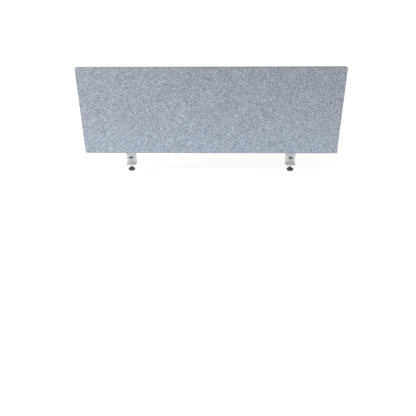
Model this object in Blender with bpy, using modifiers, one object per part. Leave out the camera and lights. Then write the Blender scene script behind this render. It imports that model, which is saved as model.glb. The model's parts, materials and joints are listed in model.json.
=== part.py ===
"""Desk privacy panel: an upholstered screen that two screw clamps hold on a desk's rear edge.

Run it with blender --background --python part.py, or from Blender's text editor.

Frame, in metres: +X to the user's right, +Y away from the user, +Z up. The origin is the middle of the
desk's rear top edge, so the desk lies below Z = 0 and in front of Y = 0, and the panel stands on that edge.
"""

import math

import bmesh
import bpy
from mathutils import Vector

# Driving dimensions of the panel
PANEL_WIDTH = 1.500
PANEL_HEIGHT = 0.494
PANEL_THICK = 0.030
CORNER_RADIUS = 0.009  # the two upper corners, seen from the front
EDGE_ROUND = 0.004  # where each face turns into the edge
GAP = 0.0003  # between any two pieces that rest on each other

# Layers, from a face inwards
CLOTH = 0.0012
WADDING = 0.0025
HEM_DEPTH = 0.010  # how far each cover reaches round the edge towards the zip

# Frame members
RAIL = 0.040
BOTTOM_RAIL = 0.045
BLOCK_WIDTH = 0.080
BLOCK_TOP = 0.140
DOWEL_RADIUS = 0.004
DOWEL_REACH = 0.016  # into each of the two members that it joins

# Zip round the two sides and the top
TAPE = 0.0008
TAPE_WIDTH = 0.0102
TAPE_DEPTH = 0.0020  # from the envelope to the tape
CHAIN_WIDTH = 0.006
CHAIN_DEPTH = 0.0002
CHAIN_THICK = 0.0015
CHAIN_START = 0.020  # height of the chain's two lower ends
STOP_HEIGHT = 0.004
SLIDER_LENGTH = 0.012

# Clamps
CLAMP_X = 0.480
PLATE = 0.004
PLATE_WIDTH = 0.060
PLATE_TOP = 0.130
PLATE_CORNER = 0.008
JAW_PAD = 0.0015
UPPER_JAW_REACH = 0.028
LOWER_JAW_REACH = 0.044
THROAT = 0.062  # from the desk's surface down to the lower jaw
BEND = 0.003
DESK_THICK = 0.022  # what the clamps are closed on at rest
SPINDLE_Y = -0.024
SPINDLE_RADIUS = 0.004
BALL_RADIUS = 0.0042
NECK_RADIUS = 0.0028
CUP_RADIUS = 0.013
CUP_HEIGHT = 0.009
CUP_RUBBER = 0.002
BOSS_RADIUS = 0.007
BOSS_TOP = 0.0065  # above the lower jaw's upper face
BOSS_FLANGE = 0.002
BOSS_TAIL = 0.001  # below the lower jaw
TRAVEL_UP = 0.012
KNOB_RADIUS = 0.020
KNOB_HEIGHT = 0.022
KNOB_LOBES = 6

# Fasteners that hold each clamp's plate to the panel's frame: (across, height)
SCREW_PLACES = ((-0.018, 0.030), (0.018, 0.030), (0.0, 0.108))
SCREW_RADIUS = 0.003
SCREW_LENGTH = 0.020
HEAD_RADIUS = 0.00525
HEAD_HEIGHT = 0.0033
SOCKET_RADIUS = 0.0023
SOCKET_DEPTH = 0.0018
WASHER_RADIUS = 0.006
WASHER = 0.0016
INSERT_RADIUS = 0.00475
INSERT_LENGTH = 0.013
CLEARANCE_HOLE = 0.0035

# Where things lie
BACK = -GAP  # the panel's rear face, against the clamps' plates
FRONT = BACK - PANEL_THICK
MIDDLE = (BACK + FRONT) / 2
BOTTOM_STRIP = 0.0015
BOTTOM = JAW_PAD + GAP + PLATE + GAP  # underside of the bottom strip
CLOTH_BOTTOM = BOTTOM + BOTTOM_STRIP + GAP
TOP = BOTTOM + PANEL_HEIGHT
HALF = PANEL_WIDTH / 2
FRAME_FRONT = FRONT + CLOTH + WADDING + 2 * GAP + GAP
FRAME_BACK = BACK - CLOTH - WADDING - 2 * GAP - GAP
FRAME_INSET = TAPE_DEPTH + TAPE + GAP
FRAME_HALF = HALF - FRAME_INSET
FRAME_TOP = TOP - FRAME_INSET
FRAME_BOTTOM = CLOTH_BOTTOM + CLOTH + GAP
RAIL_UNDER = FRAME_TOP - RAIL
BOTTOM_RAIL_TOP = FRAME_BOTTOM + BOTTOM_RAIL
SIDES = (("left", -1), ("right", 1))


def collection(name):
    made = bpy.data.collections.new(name)
    bpy.context.scene.collection.children.link(made)
    return made


def material(name, colour, roughness, metallic=0.0):
    made = bpy.data.materials.new(name)
    made.use_nodes = True
    shader = made.node_tree.nodes["Principled BSDF"]
    shader.inputs["Base Color"].default_value = (*colour, 1.0)
    shader.inputs["Roughness"].default_value = roughness
    shader.inputs["Metallic"].default_value = metallic
    made.diffuse_color = (*colour, 1.0)
    return made


for old in list(bpy.data.objects):
    bpy.data.objects.remove(old)
PARTS = collection("desk_privacy_panel")
HELPERS = collection("cutters_and_joins")
MATERIALS = {
    "cover": material("woven_cover", (0.35, 0.39, 0.46), 0.95),
    "wadding": material("wadding", (0.80, 0.80, 0.78), 1.0),
    "core": material("acoustic_core", (0.55, 0.50, 0.36), 1.0),
    "wood": material("frame_wood", (0.62, 0.44, 0.26), 0.7),
    "zip": material("zip_tape", (0.19, 0.20, 0.22), 0.8),
    "coil": material("zip_coil", (0.21, 0.22, 0.24), 0.55),
    "zip_metal": material("zip_metal", (0.55, 0.56, 0.58), 0.35, 0.9),
    "strip": material("bottom_strip", (0.16, 0.17, 0.18), 0.6),
    "steel": material("painted_steel", (0.60, 0.62, 0.63), 0.45, 0.3),
    "zinc": material("zinc_plated_steel", (0.66, 0.67, 0.68), 0.3, 1.0),
    "rubber": material("rubber", (0.03, 0.03, 0.03), 0.9),
    "knob": material("moulded_knob", (0.04, 0.04, 0.045), 0.5),
}


def placed(obj, name, kind, parent=None):
    """Names an object, puts it in the collection for its use and gives it its material."""
    obj.name = name
    obj.data.name = name
    for holder in list(obj.users_collection):
        holder.objects.unlink(obj)
    if kind is None:
        HELPERS.objects.link(obj)
        obj.hide_render = True
        obj.display_type = "WIRE"
    else:
        PARTS.objects.link(obj)
        obj.data.materials.append(MATERIALS[kind])
    if parent:
        obj.parent = parent
        obj.matrix_parent_inverse = parent.matrix_world.inverted()
    return obj


def empty(name, place, parent=None):
    made = bpy.data.objects.new(name, None)
    made.location = place
    PARTS.objects.link(made)
    bpy.context.view_layer.update()
    if parent:
        made.parent = parent
        made.matrix_parent_inverse = parent.matrix_world.inverted()
        bpy.context.view_layer.update()
    return made


def box(name, low, high, kind, parent=None):
    low, high = Vector(low), Vector(high)
    bpy.ops.mesh.primitive_cube_add(size=1, location=(low + high) / 2)
    obj = bpy.context.active_object
    obj.scale = high - low
    bpy.ops.object.transform_apply(location=False, rotation=False, scale=True)
    return placed(obj, name, kind, parent)


def cylinder(name, radius, low, high, kind, segments=24, parent=None):
    """A cylinder between two points."""
    low, high = Vector(low), Vector(high)
    bpy.ops.mesh.primitive_cylinder_add(
        radius=radius, depth=(high - low).length, vertices=segments, location=(low + high) / 2
    )
    obj = bpy.context.active_object
    obj.rotation_euler = (high - low).to_track_quat("Z", "Y").to_euler()
    bpy.ops.object.transform_apply(location=False, rotation=True, scale=False)
    return placed(obj, name, kind, parent)


def turned(name, profile, place, kind, segments=24, closed=False, along_y=False, parent=None):
    """A shape turned about its own Z axis from (radius, height) points, down its outer side."""
    mesh = bpy.data.meshes.new(name)
    edges = [(i, i + 1) for i in range(len(profile) - 1)]
    if closed:
        edges.append((len(profile) - 1, 0))
    mesh.from_pydata([(radius, 0, height) for radius, height in profile], edges, [])
    obj = placed(bpy.data.objects.new(name, mesh), name, kind)
    obj.location = place
    if along_y:
        obj.rotation_euler = (-math.pi / 2, 0, 0)
    bpy.context.view_layer.update()
    if parent:
        obj.parent = parent
        obj.matrix_parent_inverse = parent.matrix_world.inverted()
    screw = obj.modifiers.new("turn", "SCREW")
    screw.steps = screw.render_steps = segments
    screw.use_merge_vertices = True
    screw.merge_threshold = 0.00001
    screw.use_normal_calculate = False
    return obj


def boolean(obj, other, operation):
    modifier = obj.modifiers.new(f"{operation.lower()}_{other.name}", "BOOLEAN")
    modifier.operation = operation
    modifier.object = other
    return obj


def cut(obj, *cutters):
    for cutter in cutters:
        boolean(obj, cutter, "DIFFERENCE")
    return obj


def edit(obj, change):
    """Runs change on the object's bmesh."""
    shape = bmesh.new()
    shape.from_mesh(obj.data)
    change(shape)
    shape.normal_update()
    shape.to_mesh(obj.data)
    shape.free()
    return obj


def round_edges(obj, radius, segments, wanted):
    """Rounds the edges whose two end points, in the object's parent space, wanted accepts."""

    def change(shape):
        ends = [(e, *(v.co + obj.location for v in e.verts)) for e in shape.edges]
        chosen = [e for e, a, b in ends if wanted(a, b)]
        bmesh.ops.bevel(
            shape, geom=chosen, offset=radius, segments=segments, profile=0.5, affect="EDGES"
        )

    return edit(obj, change)


def along(axis):
    """Accepts edges that run along an axis, 0 to 2."""
    return lambda a, b: all(abs(a[i] - b[i]) < 1e-6 for i in range(3) if i != axis)


def upper_corners(a, b):
    """Accepts the edges through the thickness at a slab's two upper corners."""
    return along(1)(a, b) and a.z > TOP / 2


def slab(name, inset, low_y, high_y, low_z, kind):
    """A slab with the panel's outline, drawn in by inset, with its two upper corners round."""
    obj = box(name, (inset - HALF, low_y, low_z), (HALF - inset, high_y, TOP - inset), kind)
    return round_edges(obj, CORNER_RADIUS - inset, 8, upper_corners)


def cover(name, face_y, hem_y):
    """A cloth cover: a shallow dish of cloth, open towards the zip."""
    obj = slab(name, 0, min(face_y, hem_y), max(face_y, hem_y), CLOTH_BOTTOM, "cover")

    def open_and_round(shape):
        def at(y):
            return lambda f: all(abs(v.co.y + obj.location.y - y) < 1e-6 for v in f.verts)

        bmesh.ops.delete(shape, geom=list(filter(at(hem_y), shape.faces)), context="FACES_ONLY")
        rim = {e for f in filter(at(face_y), shape.faces) for e in f.edges}
        bmesh.ops.bevel(
            shape, geom=list(rim), offset=EDGE_ROUND, segments=3, profile=0.5, affect="EDGES"
        )

    edit(obj, open_and_round)
    solidify = obj.modifiers.new("cloth", "SOLIDIFY")
    solidify.thickness = CLOTH
    solidify.offset = -1
    solidify.use_even_offset = True
    return obj


def ribbon(name, path, sweep, thickness, kind, rounded=0.0):
    """A strip: path is swept by a vector, and its far side lies thickness behind its face."""
    mesh = bpy.data.meshes.new(name)
    mesh.from_pydata(path, [(i, i + 1) for i in range(len(path) - 1)], [])
    obj = placed(bpy.data.objects.new(name, mesh), name, kind)

    def swept(shape):
        made = bmesh.ops.extrude_edge_only(shape, edges=list(shape.edges))["geom"]
        moved = [v for v in made if isinstance(v, bmesh.types.BMVert)]
        bmesh.ops.translate(shape, verts=moved, vec=sweep)
        if rounded:
            corners = [v for v in shape.verts if len(v.link_edges) == 2]
            bmesh.ops.bevel(
                shape, geom=corners, offset=rounded, segments=5, profile=0.5, affect="VERTICES"
            )

    edit(obj, swept)
    solidify = obj.modifiers.new("sheet", "SOLIDIFY")
    solidify.thickness = thickness
    solidify.offset = -1
    solidify.use_even_offset = True
    return obj


def arc(centre, radius, start, end, steps):
    """Points of an arc, as (first, second) coordinates, with the angles in degrees."""
    angles = [math.radians(start + (end - start) * i / steps) for i in range(steps + 1)]
    return [(centre[0] + radius * math.cos(a), centre[1] + radius * math.sin(a)) for a in angles]


def edge_path(depth, low_z, y):
    """Up the left side, over the top and down the right side, at a depth below the envelope."""
    radius = CORNER_RADIUS - depth
    level = TOP - CORNER_RADIUS
    left = arc((CORNER_RADIUS - HALF, level), radius, 180, 90, 8)
    right = [(-x, z) for x, z in reversed(left)]
    side = HALF - depth
    return [(x, y, z) for x, z in [(-side, low_z), *left, *right, (side, low_z)]]


def screw_holes(radius, name):
    """Cylinders through the panel's back and the clamps' plates, one for each plate screw."""
    return [
        cylinder(
            f"{name}_{side}_{number}",
            radius,
            (sign * CLAMP_X + across, FRAME_BACK - INSERT_LENGTH - 2 * GAP, height),
            (sign * CLAMP_X + across, 2 * PLATE, height),
            None,
        )
        for side, sign in SIDES
        for number, (across, height) in enumerate(SCREW_PLACES, 1)
    ]


def make_frame():
    """The timber frame with its mounting blocks and dowels, and the acoustic core between."""
    holes = screw_holes(INSERT_RADIUS + GAP, "insert_hole")
    top_rail = slab("frame_top_rail", FRAME_INSET, FRAME_FRONT, FRAME_BACK, RAIL_UNDER, "wood")
    bottom_rail = box(
        "frame_bottom_rail",
        (-FRAME_HALF, FRAME_FRONT, FRAME_BOTTOM),
        (FRAME_HALF, FRAME_BACK, BOTTOM_RAIL_TOP),
        "wood",
    )
    stile_low, stile_high = BOTTOM_RAIL_TOP + GAP, RAIL_UNDER - GAP
    stiles = {
        "left": (-FRAME_HALF, RAIL - FRAME_HALF),
        "centre": (-RAIL / 2, RAIL / 2),
        "right": (FRAME_HALF - RAIL, FRAME_HALF),
    }
    for name, (low, high) in stiles.items():
        stile = box(
            f"frame_{name}_stile",
            (low, FRAME_FRONT, stile_low),
            (high, FRAME_BACK, stile_high),
            "wood",
        )
        for level, joint, rail in (("top", stile_high, top_rail), ("bottom", stile_low, bottom_rail)):
            middle = Vector(((low + high) / 2, MIDDLE, joint))
            reach = Vector((0, 0, DOWEL_REACH))
            grown = reach + Vector((0, 0, GAP))
            cylinder(f"dowel_{name}_{level}", DOWEL_RADIUS, middle - reach, middle + reach, "wood", 12)
            hole = cylinder(
                f"dowel_hole_{name}_{level}",
                DOWEL_RADIUS + GAP,
                middle - grown,
                middle + grown,
                None,
                12,
            )
            cut(stile, hole)
            cut(rail, hole)
    for side, sign in SIDES:
        block_space = box(
            f"{side}_block_space",
            (sign * CLAMP_X - BLOCK_WIDTH / 2 - GAP, FRONT, 0),
            (sign * CLAMP_X + BLOCK_WIDTH / 2 + GAP, 0, BLOCK_TOP + GAP),
            None,
        )
        block = box(
            f"{side}_mounting_block",
            (sign * CLAMP_X - BLOCK_WIDTH / 2, FRAME_FRONT, stile_low),
            (sign * CLAMP_X + BLOCK_WIDTH / 2, FRAME_BACK, BLOCK_TOP),
            "wood",
        )
        own = [h for h in holes if h.name.startswith(f"insert_hole_{side}")]
        cut(bottom_rail, *own[:2])
        cut(block, own[2])
        near, far = sign * (RAIL / 2 + GAP), sign * (FRAME_HALF - RAIL - GAP)
        core = box(
            f"{side}_acoustic_core",
            (min(near, far), FRAME_FRONT, stile_low),
            (max(near, far), FRAME_BACK, stile_high),
            "core",
        )
        cut(core, block_space)


def make_covers():
    """Wadding and cloth on both faces. The screws pass through the rear pair."""
    holes = screw_holes(CLEARANCE_HOLE, "cloth_hole")
    low = CLOTH_BOTTOM + EDGE_ROUND
    slab("front_wadding", EDGE_ROUND, FRONT + CLOTH + GAP, FRAME_FRONT - GAP, low, "wadding")
    rear = slab("rear_wadding", EDGE_ROUND, FRAME_BACK + GAP, BACK - CLOTH - GAP, low, "wadding")
    cut(rear, *holes)
    cover("front_cover", FRONT, FRONT + HEM_DEPTH)
    cut(cover("rear_cover", BACK, BACK - HEM_DEPTH), *holes)
    strip_half = PANEL_THICK / 2 - HEM_DEPTH / 2
    box(
        "bottom_strip",
        (0.0015 - HALF, MIDDLE - strip_half, BOTTOM),
        (HALF - 0.0015, MIDDLE + strip_half, BOTTOM + BOTTOM_STRIP),
        "strip",
    )


def make_zip():
    """Two tapes, the closed chain, its stops, and the slider parked at the foot of the right side."""
    tape_low = CLOTH_BOTTOM + CLOTH + GAP
    width = Vector((0, -TAPE_WIDTH, 0))
    half_gap = 0.0002
    rear_y = MIDDLE + half_gap + TAPE_WIDTH
    ribbon("zip_tape_front", edge_path(TAPE_DEPTH, tape_low, MIDDLE - half_gap), width, TAPE, "zip")
    ribbon("zip_tape_rear", edge_path(TAPE_DEPTH, tape_low, rear_y), width, TAPE, "zip")
    chain_path = edge_path(CHAIN_DEPTH, CHAIN_START, MIDDLE + CHAIN_WIDTH / 2)
    ribbon("zip_chain", chain_path, Vector((0, -CHAIN_WIDTH, 0)), CHAIN_THICK, "coil")
    half_stop = 0.0035
    for name, sign in (("start", -1), ("end", 1)):
        inner, outer = sign * (HALF - CHAIN_DEPTH - CHAIN_THICK), sign * (HALF + 0.0003)
        box(
            f"zip_{name}_stop",
            (min(inner, outer), MIDDLE - half_stop, CHAIN_START - GAP - STOP_HEIGHT),
            (max(inner, outer), MIDDLE + half_stop, CHAIN_START - GAP),
            "zip_metal",
        )
    middle = Vector((HALF, MIDDLE, CHAIN_START + GAP + SLIDER_LENGTH / 2))
    mount = empty("zip_slider_axis", middle)
    make_slider(middle, mount)
    make_pull(middle, mount)


def make_slider(middle, mount):
    """A channel over the chain, with an arch on it that the pull hangs from."""

    def block(name, low, high, kind):
        return box(name, middle + Vector(low), middle + Vector(high), kind)

    length, half_width, wall = SLIDER_LENGTH / 2, 0.0044, 0.0010
    slider = block("zip_slider", (-0.0016, -half_width, -length), (0.0010, half_width, length), "zip_metal")
    inside = half_width - wall
    channel = block("slider_channel", (-0.003, -inside, -0.01), (0.0001, inside, 0.01), None)
    arch = block("slider_arch", (0.0005, -0.0013, -0.0038), (0.0044, 0.0013, 0.0038), None)
    tunnel = block("slider_tunnel", (0.0010, -0.005, -0.0026), (0.0032, 0.005, 0.0026), None)
    cut(arch, tunnel)
    cut(boolean(slider, arch, "UNION"), channel)
    slider.parent = mount
    slider.matrix_parent_inverse = mount.matrix_world.inverted()


def make_pull(middle, mount):
    """A flat tab that hangs from the arch by the bar above its window."""
    axis = middle + Vector((0.0021, 0, 0))
    hinge = empty("zip_pull_axis", axis, mount)
    half_width, thick, length = 0.0031, 0.0006, 0.024
    pull = box(
        "zip_pull",
        axis + Vector((-thick, -half_width, -length)),
        axis + Vector((thick, half_width, thick)),
        "zip_metal",
    )
    round_edges(pull, 0.0028, 5, lambda a, b: along(0)(a, b) and a.z < axis.z - length / 2)
    window = box(
        "pull_window",
        axis + Vector((-0.005, -0.0018, -0.0046)),
        axis + Vector((0.005, 0.0018, -thick)),
        None,
    )
    hole_at = axis + Vector((0, 0, 0.004 - length))
    reach = Vector((0.005, 0, 0))
    hole = cylinder("pull_hole", 0.0013, hole_at - reach, hole_at + reach, None, 12)
    cut(pull, window, hole)
    pull.parent = hinge
    pull.matrix_parent_inverse = hinge.matrix_world.inverted()


def make_plate(side, x):
    """A clamp's steel: a plate up the panel's back, bent forward under the desk, and an upper jaw."""
    jaw_z = JAW_PAD + GAP
    bend = arc((-BEND, BEND - THROAT), BEND, 0, -90, 5)
    profile = [(0, PLATE_TOP), *bend, (-LOWER_JAW_REACH, -THROAT)]
    path = [(x + PLATE_WIDTH / 2, y, z) for y, z in profile]
    sweep = Vector((-PLATE_WIDTH, 0, 0))
    plate = ribbon(f"{side}_clamp_plate", path, sweep, PLATE, "steel", PLATE_CORNER)
    half = PLATE_WIDTH / 2
    jaw = box(
        f"{side}_upper_jaw",
        (x - half + 0.001, -UPPER_JAW_REACH, jaw_z),
        (x + half - 0.001, PLATE / 2, jaw_z + PLATE),
        None,
    )
    round_edges(jaw, 0.005, 4, lambda a, b: along(2)(a, b) and a.y < -UPPER_JAW_REACH / 2)
    boolean(plate, jaw, "UNION")
    boss_hole = cylinder(
        f"{side}_boss_hole",
        BOSS_RADIUS + GAP,
        (x, SPINDLE_Y, -THROAT - 2 * PLATE),
        (x, SPINDLE_Y, PLATE - THROAT),
        None,
    )
    cut(plate, boss_hole)
    for number, (across, height) in enumerate(SCREW_PLACES, 1):
        hole = cylinder(
            f"{side}_plate_hole_{number}",
            SCREW_RADIUS + GAP,
            (x + across, -PLATE, height),
            (x + across, 2 * PLATE, height),
            None,
        )
        cut(plate, hole)
    box(
        f"{side}_jaw_pad",
        (x - half + 0.002, 0.001 - UPPER_JAW_REACH, 0),
        (x + half - 0.002, -0.001, JAW_PAD),
        "rubber",
    )


def make_fasteners(side, x):
    """The plate's screws and washers, and the threaded inserts in the frame that they go into."""
    for number, (across, height) in enumerate(SCREW_PLACES, 1):
        washer_y = PLATE + GAP
        head_y = washer_y + WASHER + GAP
        centre = x + across
        ring = (SCREW_RADIUS + 2 * GAP, WASHER_RADIUS)
        turned(
            f"{side}_washer_{number}",
            [(ring[1], WASHER), (ring[1], 0), (ring[0], 0), (ring[0], WASHER)],
            (centre, washer_y, height),
            "zinc",
            20,
            closed=True,
            along_y=True,
        )
        screw = turned(
            f"{side}_plate_screw_{number}",
            [
                (0, HEAD_HEIGHT),
                (HEAD_RADIUS * 0.55, HEAD_HEIGHT),
                (HEAD_RADIUS * 0.85, HEAD_HEIGHT * 0.72),
                (HEAD_RADIUS, HEAD_HEIGHT * 0.25),
                (HEAD_RADIUS, 0),
                (SCREW_RADIUS, 0),
                (SCREW_RADIUS, 0.0008 - SCREW_LENGTH),
                (SCREW_RADIUS - 0.0008, -SCREW_LENGTH),
                (0, -SCREW_LENGTH),
            ],
            (centre, head_y, height),
            "zinc",
            20,
            along_y=True,
        )
        head_end = head_y + HEAD_HEIGHT
        socket = cylinder(
            f"{side}_socket_{number}",
            SOCKET_RADIUS,
            (centre, head_end - SOCKET_DEPTH, height),
            (centre, head_end + 0.001, height),
            None,
            6,
        )
        cut(screw, socket)
        bore = SCREW_RADIUS + GAP
        turned(
            f"{side}_threaded_insert_{number}",
            [(INSERT_RADIUS, 0), (INSERT_RADIUS, -INSERT_LENGTH), (bore, -INSERT_LENGTH), (bore, 0)],
            (centre, FRAME_BACK - GAP, height),
            "zinc",
            16,
            closed=True,
            along_y=True,
        )


def make_spindle(side, x):
    """The threaded boss, the spindle with its ball, the swivel cup with its rubber, and the knob."""
    jaw_under = -THROAT - PLATE
    boss_bore = SPINDLE_RADIUS + GAP
    flange_low = PLATE + GAP
    flange_high = flange_low + BOSS_FLANGE
    boss_top = PLATE + BOSS_TOP
    turned(
        f"{side}_threaded_boss",
        [
            (BOSS_RADIUS, boss_top),
            (BOSS_RADIUS, flange_high),
            (BOSS_RADIUS + 0.002, flange_high),
            (BOSS_RADIUS + 0.002, flange_low),
            (BOSS_RADIUS, flange_low),
            (BOSS_RADIUS, -BOSS_TAIL),
            (boss_bore, -BOSS_TAIL),
            (boss_bore, boss_top),
        ],
        (x, SPINDLE_Y, jaw_under),
        "zinc",
        closed=True,
    )
    slide = empty(f"{side}_pad_axis", (x, SPINDLE_Y, -DESK_THICK))
    cylinder(
        f"{side}_pad_rubber",
        CUP_RADIUS,
        (x, SPINDLE_Y, -DESK_THICK - CUP_RUBBER),
        (x, SPINDLE_Y, -DESK_THICK),
        "rubber",
        parent=slide,
    )
    cavity, mouth = BALL_RADIUS + GAP, 0.0036
    ball_height = 0.0007 + math.sqrt(cavity**2 - mouth**2)
    lowest = math.degrees(math.atan2(0.0007 - ball_height, mouth))
    hollow = arc((0, ball_height), cavity, lowest, 90, 6)[:-1]
    cup_z = -DESK_THICK - CUP_RUBBER - GAP - CUP_HEIGHT
    shell = [
        (0, CUP_HEIGHT),
        (CUP_RADIUS, CUP_HEIGHT),
        (CUP_RADIUS, CUP_HEIGHT - 0.003),
        (0.0085, 0.0025),
        (0.0080, 0),
        (mouth, 0),
    ]
    cup = [*shell, *hollow, (0, ball_height + cavity)]
    turned(f"{side}_swivel_cup", cup, (x, SPINDLE_Y, cup_z), "zinc", parent=slide)
    ball_z = cup_z + ball_height
    knob_top = jaw_under - BOSS_TAIL - TRAVEL_UP - 0.001
    spindle_end = knob_top - 0.016 - ball_z
    turn = empty(f"{side}_spindle_axis", (x, SPINDLE_Y, ball_z), slide)
    neck_angle = math.degrees(math.asin(NECK_RADIUS / BALL_RADIUS))
    ball = arc((0, 0), BALL_RADIUS, 90, neck_angle - 90, 8)[1:]
    turned(
        f"{side}_spindle",
        [
            (0, BALL_RADIUS),
            *ball,
            (NECK_RADIUS, -0.0055),
            (SPINDLE_RADIUS, -0.0067),
            (SPINDLE_RADIUS, spindle_end + 0.001),
            (SPINDLE_RADIUS - 0.001, spindle_end),
            (0, spindle_end),
        ],
        (x, SPINDLE_Y, ball_z),
        "zinc",
        parent=turn,
    )
    make_knob(side, x, knob_top, turn)


def make_knob(side, x, top, parent):
    """A lobed hand knob with a hub, moulded round the spindle's lower end."""
    grip_top, bottom = top - 0.007, top - KNOB_HEIGHT
    count = 8 * KNOB_LOBES
    mean, swing = KNOB_RADIUS * 0.9, KNOB_RADIUS * 0.1
    outline = []
    for i in range(count):
        angle = 2 * math.pi * i / count
        radius = mean + swing * math.cos(KNOB_LOBES * angle)
        outline.append((radius * math.cos(angle), radius * math.sin(angle)))
    curve = bpy.data.curves.new(f"{side}_grip", "CURVE")
    curve.dimensions = "2D"
    curve.fill_mode = "BOTH"
    curve.extrude = (grip_top - bottom) / 2
    spline = curve.splines.new("POLY")
    spline.points.add(count - 1)
    for point, (px, py) in zip(spline.points, outline):
        point.co = (px, py, 0, 1)
    spline.use_cyclic_u = True
    drawn = bpy.data.objects.new(f"{side}_grip", curve)
    bpy.context.scene.collection.objects.link(drawn)
    bpy.context.view_layer.update()
    mesh = bpy.data.meshes.new_from_object(drawn.evaluated_get(bpy.context.evaluated_depsgraph_get()))
    bpy.data.objects.remove(drawn)
    knob = placed(bpy.data.objects.new(f"{side}_knob", mesh), f"{side}_knob", "knob")
    knob.location = (x, SPINDLE_Y, (grip_top + bottom) / 2)

    def welded(shape):
        bmesh.ops.remove_doubles(shape, verts=shape.verts, dist=0.00001)
        rims = [e for e in shape.edges if abs(e.verts[0].co.z - e.verts[1].co.z) < 1e-6]
        rims = [e for e in rims if e.calc_face_angle(0) > 1]
        bmesh.ops.bevel(shape, geom=rims, offset=0.002, segments=2, profile=0.5, affect="EDGES")

    edit(knob, welded)
    bpy.context.view_layer.update()
    hub = turned(
        f"{side}_hub",
        [(0, 0.007), (0.0085, 0.007), (0.0095, 0.006), (0.0105, -0.003), (0, -0.003)],
        (x, SPINDLE_Y, grip_top),
        None,
    )
    bore = cylinder(
        f"{side}_knob_bore",
        SPINDLE_RADIUS + GAP,
        (x, SPINDLE_Y, top - 0.016 - GAP),
        (x, SPINDLE_Y, top + 0.001),
        None,
    )
    cut(boolean(knob, hub, "UNION"), bore)
    knob.parent = parent
    knob.matrix_parent_inverse = parent.matrix_world.inverted()


def smooth_round_pieces():
    for obj in PARTS.objects:
        if obj.type == "MESH" and obj.data.polygons:
            obj.data.shade_smooth()
            obj.data.set_sharp_from_angle(angle=math.radians(35))


def main():
    make_frame()
    make_covers()
    make_zip()
    for side, sign in SIDES:
        make_plate(side, sign * CLAMP_X)
        make_fasteners(side, sign * CLAMP_X)
        make_spindle(side, sign * CLAMP_X)
    smooth_round_pieces()


main()
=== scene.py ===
"""The looks of the desk privacy panel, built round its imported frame.

Lengths are in metres, in the frame's own axes: +X to the user's right, +Y away from the user, +Z up.
"""

import json
import math
import random

import bmesh
import bpy
from mathutils import Matrix, Vector

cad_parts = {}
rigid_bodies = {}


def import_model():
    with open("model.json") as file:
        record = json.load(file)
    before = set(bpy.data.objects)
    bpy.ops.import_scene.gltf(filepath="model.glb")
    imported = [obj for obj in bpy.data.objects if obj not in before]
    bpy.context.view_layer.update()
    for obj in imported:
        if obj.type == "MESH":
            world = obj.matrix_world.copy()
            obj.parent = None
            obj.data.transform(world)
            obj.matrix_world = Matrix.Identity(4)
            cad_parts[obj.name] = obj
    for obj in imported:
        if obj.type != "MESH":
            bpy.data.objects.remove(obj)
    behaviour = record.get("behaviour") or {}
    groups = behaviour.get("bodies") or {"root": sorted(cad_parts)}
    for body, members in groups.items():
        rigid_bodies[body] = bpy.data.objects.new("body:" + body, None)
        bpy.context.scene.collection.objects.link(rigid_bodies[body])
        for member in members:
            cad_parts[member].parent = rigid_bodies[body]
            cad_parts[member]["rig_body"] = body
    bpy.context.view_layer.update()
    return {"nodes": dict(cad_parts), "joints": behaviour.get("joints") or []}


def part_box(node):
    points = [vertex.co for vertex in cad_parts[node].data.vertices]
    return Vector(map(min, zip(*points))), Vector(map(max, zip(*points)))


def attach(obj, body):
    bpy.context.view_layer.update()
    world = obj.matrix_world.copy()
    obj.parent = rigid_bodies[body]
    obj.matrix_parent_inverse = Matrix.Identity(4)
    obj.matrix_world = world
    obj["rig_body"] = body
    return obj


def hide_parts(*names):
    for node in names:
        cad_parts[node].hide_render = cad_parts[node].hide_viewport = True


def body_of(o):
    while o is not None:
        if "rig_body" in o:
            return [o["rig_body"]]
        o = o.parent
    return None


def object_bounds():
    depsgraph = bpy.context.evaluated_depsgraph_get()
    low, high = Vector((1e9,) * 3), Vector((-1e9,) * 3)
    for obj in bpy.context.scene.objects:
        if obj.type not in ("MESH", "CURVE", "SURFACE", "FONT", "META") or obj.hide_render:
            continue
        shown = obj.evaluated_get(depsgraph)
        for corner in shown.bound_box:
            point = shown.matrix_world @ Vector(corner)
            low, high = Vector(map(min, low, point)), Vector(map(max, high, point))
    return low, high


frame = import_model()
NODES = frame["nodes"]
SIDES = ("left", "right")

# The panel's envelope, from the frame
(LEFT, FRONT, CLOTH_LOW), (RIGHT, HEM_FRONT, TOP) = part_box("front_cover")
(_, HEM_REAR, _), (_, BACK, _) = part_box("rear_cover")
MIDDLE = (FRONT + BACK) / 2
CENTRE_Z = (CLOTH_LOW + TOP) / 2
CORNER = 0.009  # the two upper corners
LOWER_CORNER = 0.002
RIM = 0.004  # where each face turns into the edge
WELD = 0.00001  # points nearer than this are one
SHARP = 40  # degrees: an edge that turns more is shaded as an edge

# The clamp plates, which press on the rear cover
PLATES = [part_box(f"{side}_clamp_plate") for side in SIDES]

# Cloth
CLOTH = 0.0010
PITCHES = (0.00075, 0.00085)  # from one upright yarn to the next, and from one level yarn to the next
FLECK = 0.0050  # how long a light or dark stretch of yarn is
FIBRE = 0.00017
YARN_WANDER = 0.00022  # how far the yarns stray from straight
CLOUD = 0.030  # the size of the cloth's slow changes of tone
TINT = 0.022  # and of colour
CLOTH_CELL = 0.0125  # the mesh's spacing on the faces
CLOTH_INSET = 0.0002  # of a cover's middle from the envelope
SLACK, SLACK_REACH = 0.0007, 0.045  # how far the cloth falls back towards its rim
RIPPLE, RIPPLE_REACH = 0.00018, 0.03  # its slow unevenness, and where that fades out at the rim
SWELL, SWELL_REACH = 0.0006, 0.06  # how far the rear cover stands out between the clamps
PRESS, PRESS_REACH = 0.0002, 0.022  # how far a clamp's plate presses it in, and how far round itself
HEM_FOLD = 0.0005
STITCH = 0.0032
STITCH_GAP = 0.0009
STITCH_INSET = 0.0018  # from the hem's edge

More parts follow.
